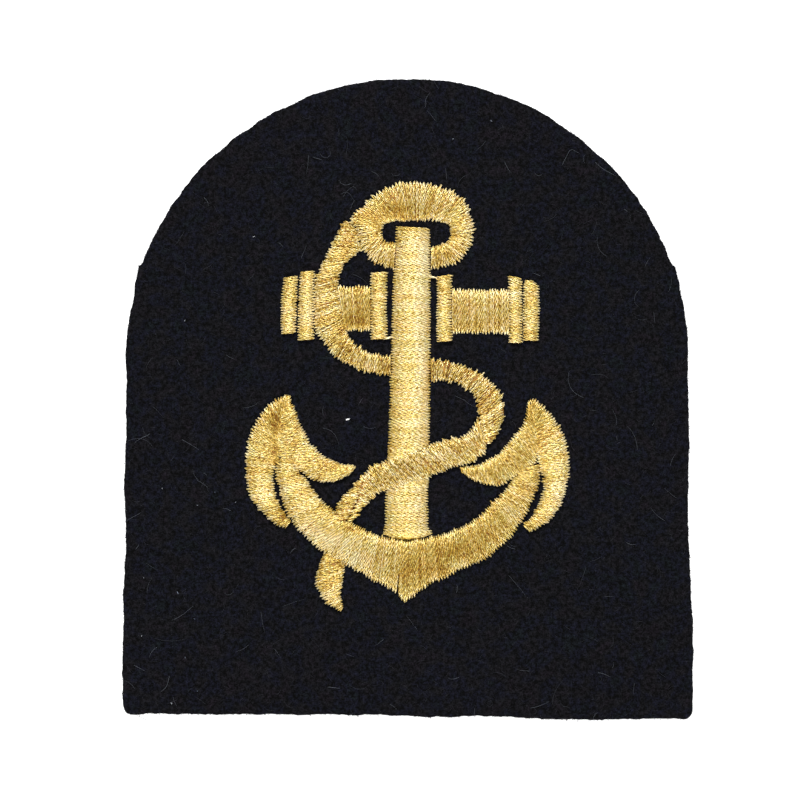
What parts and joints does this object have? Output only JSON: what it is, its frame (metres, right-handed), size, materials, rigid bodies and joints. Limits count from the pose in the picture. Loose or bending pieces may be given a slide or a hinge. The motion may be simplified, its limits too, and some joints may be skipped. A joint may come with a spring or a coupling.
{
  "type": "rank badge",
  "caption": "Arched cloth rank badge of dark wool with a fouled anchor embroidered in gold satin stitch, flat-backed for sewing onto a sleeve.",
  "frame": {"origin": "middle of the cloth's outline, on the flat back of the cloth", "axes": "+X towards the right edge as seen from the front, +Y up the badge from the hem to the crown of the arch, +Z out of the embroidered face"},
  "size_m": [0.0742, 0.0832, 0.0025],
  "materials": {
    "navy_wool": "fulled navy-black wool melton, matt and slightly fuzzy, cut raw at the edge",
    "gold_thread": "lustrous pale gold embroidery thread laid in raised satin stitch"
  },
  "bodies": {
    "root": {"cloth_ground": "navy_wool", "shank_upper": "gold_thread", "shank_lower": "gold_thread", "ring": "gold_thread", "cable_upper": "gold_thread", "cable_bight": "gold_thread", "cable_crossing": "gold_thread", "cable_lower": "gold_thread", "cable_tail": "gold_thread", "stock_left_end": "gold_thread", "stock_left_outer": "gold_thread", "stock_left_panel": "gold_thread", "stock_left_inner": "gold_thread", "stock_right_inner": "gold_thread", "stock_right_panel": "gold_thread", "stock_right_outer": "gold_thread", "stock_right_end": "gold_thread", "crown_arms": "gold_thread", "blade_left_outer": "gold_thread", "blade_left_inner": "gold_thread", "blade_right_inner": "gold_thread", "blade_right_outer": "gold_thread"}
  },
  "joints": []
}
